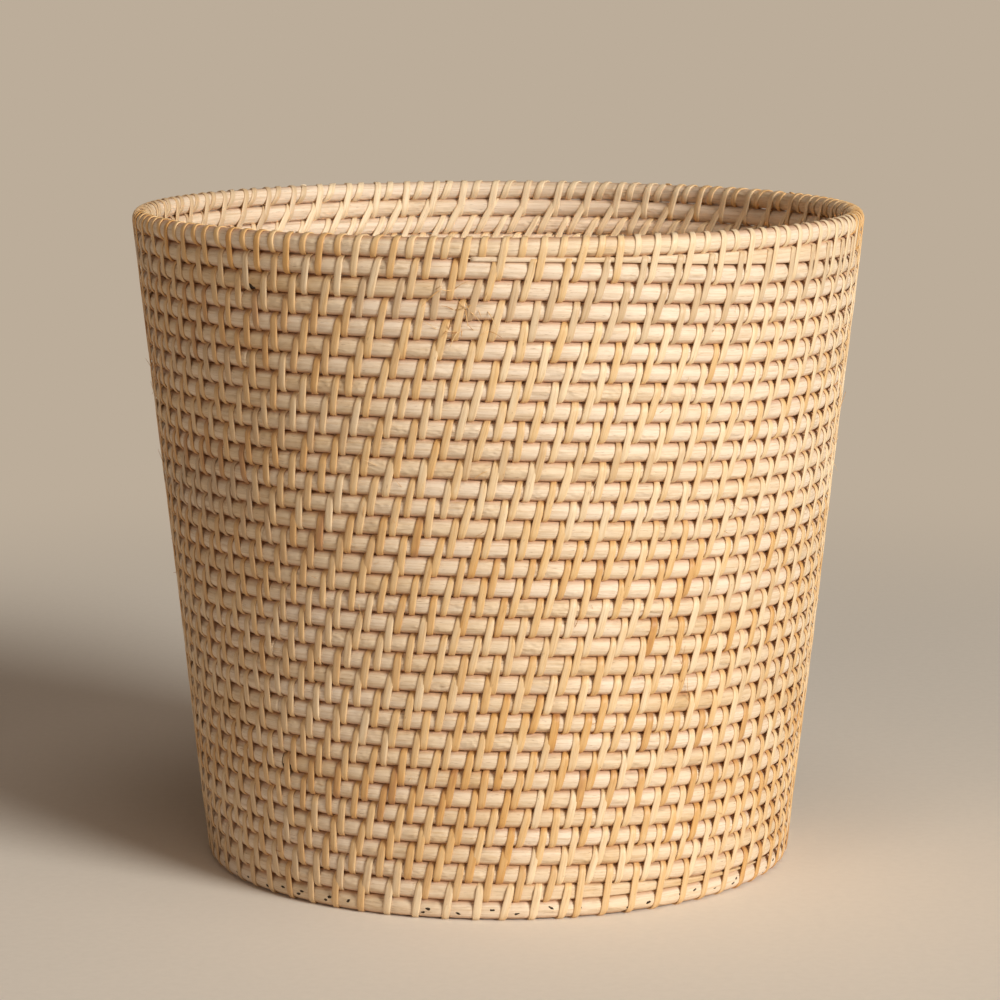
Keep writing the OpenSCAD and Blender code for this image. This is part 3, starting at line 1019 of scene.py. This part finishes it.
def make_frays(material):
    """Loose fibres, rooted in the rods and curling away from them."""
    skin = Skin()
    rng = np.random.default_rng(FRAY_SEED)
    share = np.linspace(0, 1, FRAY_RINGS)
    angle = np.linspace(0, 2 * np.pi, FRAY_SIDES, endpoint=False)
    for number, travel in enumerate(fray_places(rng)):
        coarse = 1.0 if number < FRAY_COUNT else WORN_COARSER
        length = rng.uniform(*FRAY_LENGTHS)
        heading = rng.uniform(0, 2 * np.pi)
        radius, height = row_place(coil_row(travel))
        rise = length * (math.sin(heading) * share + rng.normal(0, FRAY_BEND) * share ** 2)
        stand = rng.uniform(*FRAY_STANDS) * share ** 0.5 + rng.uniform(*FRAY_CURLS) * share ** 2
        stand = ROD_R - FRAY_ROOT + coarse * stand
        azimuth = STEP_START - travel + np.degrees(length * math.cos(heading) * share / radius)
        centre = in_space(azimuth, radius + stand + rise * ROW_RUN / ROW_RISE, height + rise)
        forward = unit(np.gradient(centre, axis=0))
        side = unit(np.cross(outward(azimuth), forward))
        lift = np.cross(forward, side)
        girth = coarse * rng.uniform(*FRAY_GIRTHS) * (1 - FRAY_THINNED * share)
        rings = (centre[:, None] + (girth[:, None] * np.cos(angle))[..., None] * side[:, None]
                 + (girth[:, None] * np.sin(angle))[..., None] * lift[:, None])
        skin.add_tube(rings[:, ::-1], rings + FRAY_GRAIN_APART * number, rng.uniform(*FRAY_TONES), 0.0)
    skin.piece("loose_fibres", material)


def make_basket():
    """All pieces of the basket, with the CAD's base board in plywood."""
    cane = cane_material()
    peel = peel_material()
    for number in range(1, ROD_COUNT + 1):
        make_wall_rod(number, cane)
        low, high = rod_span(number)
        make_lacing(f"strips_{number:02d}", [f"wall_lacing_{number:02d}"], max(360 + COIL_START, low), high,
                    LACING_SEEDS_APART * number, peel)
    make_lacing("foot_strips", ["foot_lacing"], COIL_START, 360 + COIL_START, FOOT_LACING_SEED, peel)
    make_rim_lacing(peel)
    make_ring("foot_ring", 0, FOOT_RING_SEED, FOOT_RING_SEAM, FOOT_CROSSINGS, cane)
    make_ring("rim_ring", RIM_ROW, RIM_RING_SEED, RIM_RING_SEAM, RIM_CROSSINGS, cane)
    make_rim_wedge(cane)
    make_foot_wedge(cane)
    make_frays(peel)
    make_brads(iron_material())
    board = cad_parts["base_board"]
    board.data.materials.clear()
    board.data.materials.append(plywood_material())


def seen_directly(shader):
    """1 for rays from the camera, straight or by way of a mirror or glass, and 0 for light that bounces."""
    light = shader.node("ShaderNodeLightPath").outputs
    mirrored = shader.math("MAXIMUM", light["Is Glossy Ray"], light["Is Transmission Ray"])
    return shader.math("MAXIMUM", light["Is Camera Ray"], mirrored)


def stage_material():
    """Warm beige-grey paper that fades into the plain backdrop far from the basket."""
    paper = Shader("paper", roughness=0.9, specular=0.0)
    place = paper.node("ShaderNodeTexCoord").outputs["Object"]
    sheet = paper.ramp(paper.noise(place, 260, detail=2), (0.3, "#eee6dc"), (0.7, "#f1e9df"))
    across = paper.math("POWER", paper.part(place, "X"), 2)
    along = paper.math("POWER", paper.part(place, "Y"), 2)
    reach = paper.math("SQRT", paper.math("ADD", across, along), 0)
    distant = paper.spread(reach, *FADE_REACH, kind="SMOOTHERSTEP")
    faded = paper.math("MULTIPLY", distant, seen_directly(paper))
    paper.colour(paper.mix(faded, sheet, [0, 0, 0, 1]))
    paper.surface.inputs["Emission Color"].default_value = linear(BACKDROP)
    paper.link(faded, paper.surface.inputs["Emission Strength"])
    return paper.material


def make_stage():
    """A wide, level floor."""
    azimuth = np.linspace(-180, 180, STAGE_SIDES, endpoint=False)
    edge = in_space(azimuth, np.full(STAGE_SIDES, STAGE_R), 0)
    mesh = bpy.data.meshes.new("floor")
    mesh.from_pydata([tuple(point) for point in edge], [], [tuple(range(STAGE_SIDES))])
    mesh.materials.append(stage_material())
    made = bpy.data.objects.new("floor", mesh)
    bpy.context.scene.collection.objects.link(made)


def place_lamp(data, azimuth, elevation, distance, target, power, colour):
    """Puts a lamp at a distance from its target, aimed at it."""
    data.energy = power
    data.color = linear(colour)[:3]
    lamp = bpy.data.objects.new(data.name, data)
    back = outward(np.array([azimuth]))[0] * math.cos(math.radians(elevation))
    back[2] = math.sin(math.radians(elevation))
    lamp.location = back * distance + target
    lamp.rotation_euler = (math.radians(90 - elevation), 0, math.radians(azimuth))
    lamp.visible_camera = False
    bpy.context.scene.collection.objects.link(lamp)


def add_lamp(name, azimuth, elevation, distance, size, power, colour):
    """A soft round lamp aimed at the middle of the basket."""
    data = bpy.data.lights.new(name, "AREA")
    data.shape = "DISK"
    data.size = size
    place_lamp(data, azimuth, elevation, distance, np.array([0, 0, RIM_Z * MM / 2]), power, colour)


def add_inside_lamp():
    """A narrow lamp over the front, aimed through the opening at the inside of the far wall."""
    data = bpy.data.lights.new("inside", "SPOT")
    data.spot_size = math.radians(INSIDE_CONE)
    data.spot_blend = INSIDE_BLEND
    data.shadow_soft_size = INSIDE_LAMP_R
    target = in_space(np.array([INSIDE_AZIMUTH]), np.array([INSIDE_R]), RIM_Z * MM - INSIDE_DEPTH)[0]
    place_lamp(data, azimuth=INSIDE_AZIMUTH - 180, elevation=50, distance=2.5, target=target, power=450,
               colour="#ffe0bc")


def make_world():
    """Weak warm light from all round, behind a plain backdrop."""
    world = bpy.data.worlds.new("studio")
    world.use_nodes = True
    nodes = world.node_tree.nodes
    links = world.node_tree.links
    fill = nodes["Background"]
    fill.inputs["Color"].default_value = linear(FILL_COLOUR)
    fill.inputs["Strength"].default_value = FILL_STRENGTH
    backdrop = nodes.new("ShaderNodeBackground")
    backdrop.inputs["Color"].default_value = linear(BACKDROP)
    mix = nodes.new("ShaderNodeMixShader")
    light = nodes.new("ShaderNodeLightPath").outputs
    seen = light["Is Camera Ray"]
    for other in ("Is Glossy Ray", "Is Transmission Ray"):
        either = nodes.new("ShaderNodeMath")
        either.operation = "MAXIMUM"
        links.new(seen, either.inputs[0])
        links.new(light[other], either.inputs[1])
        seen = either.outputs["Value"]
    links.new(seen, mix.inputs["Fac"])
    links.new(fill.outputs["Background"], mix.inputs[1])
    links.new(backdrop.outputs["Background"], mix.inputs[2])
    links.new(mix.outputs["Shader"], nodes["World Output"].inputs["Surface"])
    bpy.context.scene.world = world


def make_light():
    """A key lamp from the front right, two weak lamps, and the lamp for the inside."""
    add_lamp("key", azimuth=45, elevation=21, distance=8.0, size=3.5, power=666, colour="#fffdf5")
    add_lamp("front", azimuth=-35, elevation=18, distance=3.8, size=1.2, power=13, colour="#ffeedd")
    add_lamp("top", azimuth=20, elevation=74, distance=4.0, size=2.2, power=24, colour="#ffeedc")
    add_inside_lamp()
    make_world()


def make_camera():
    """The photograph's view: a long lens, a little above the rim."""
    data = bpy.data.cameras.new("camera")
    data.sensor_width = SENSOR_WIDTH
    data.lens = LENS_LENGTH
    data.shift_x = FRAME_SHIFT
    camera = bpy.data.objects.new("camera", data)
    camera.location = (0, -CAMERA_BACK, CAMERA_HEIGHT)
    camera.rotation_euler = (math.radians(90 - CAMERA_DIP), 0, 0)
    bpy.context.scene.collection.objects.link(camera)
    bpy.context.scene.camera = camera


make_camera()
make_basket()
make_stage()
make_light()
bpy.context.scene.view_settings.view_transform = "Standard"
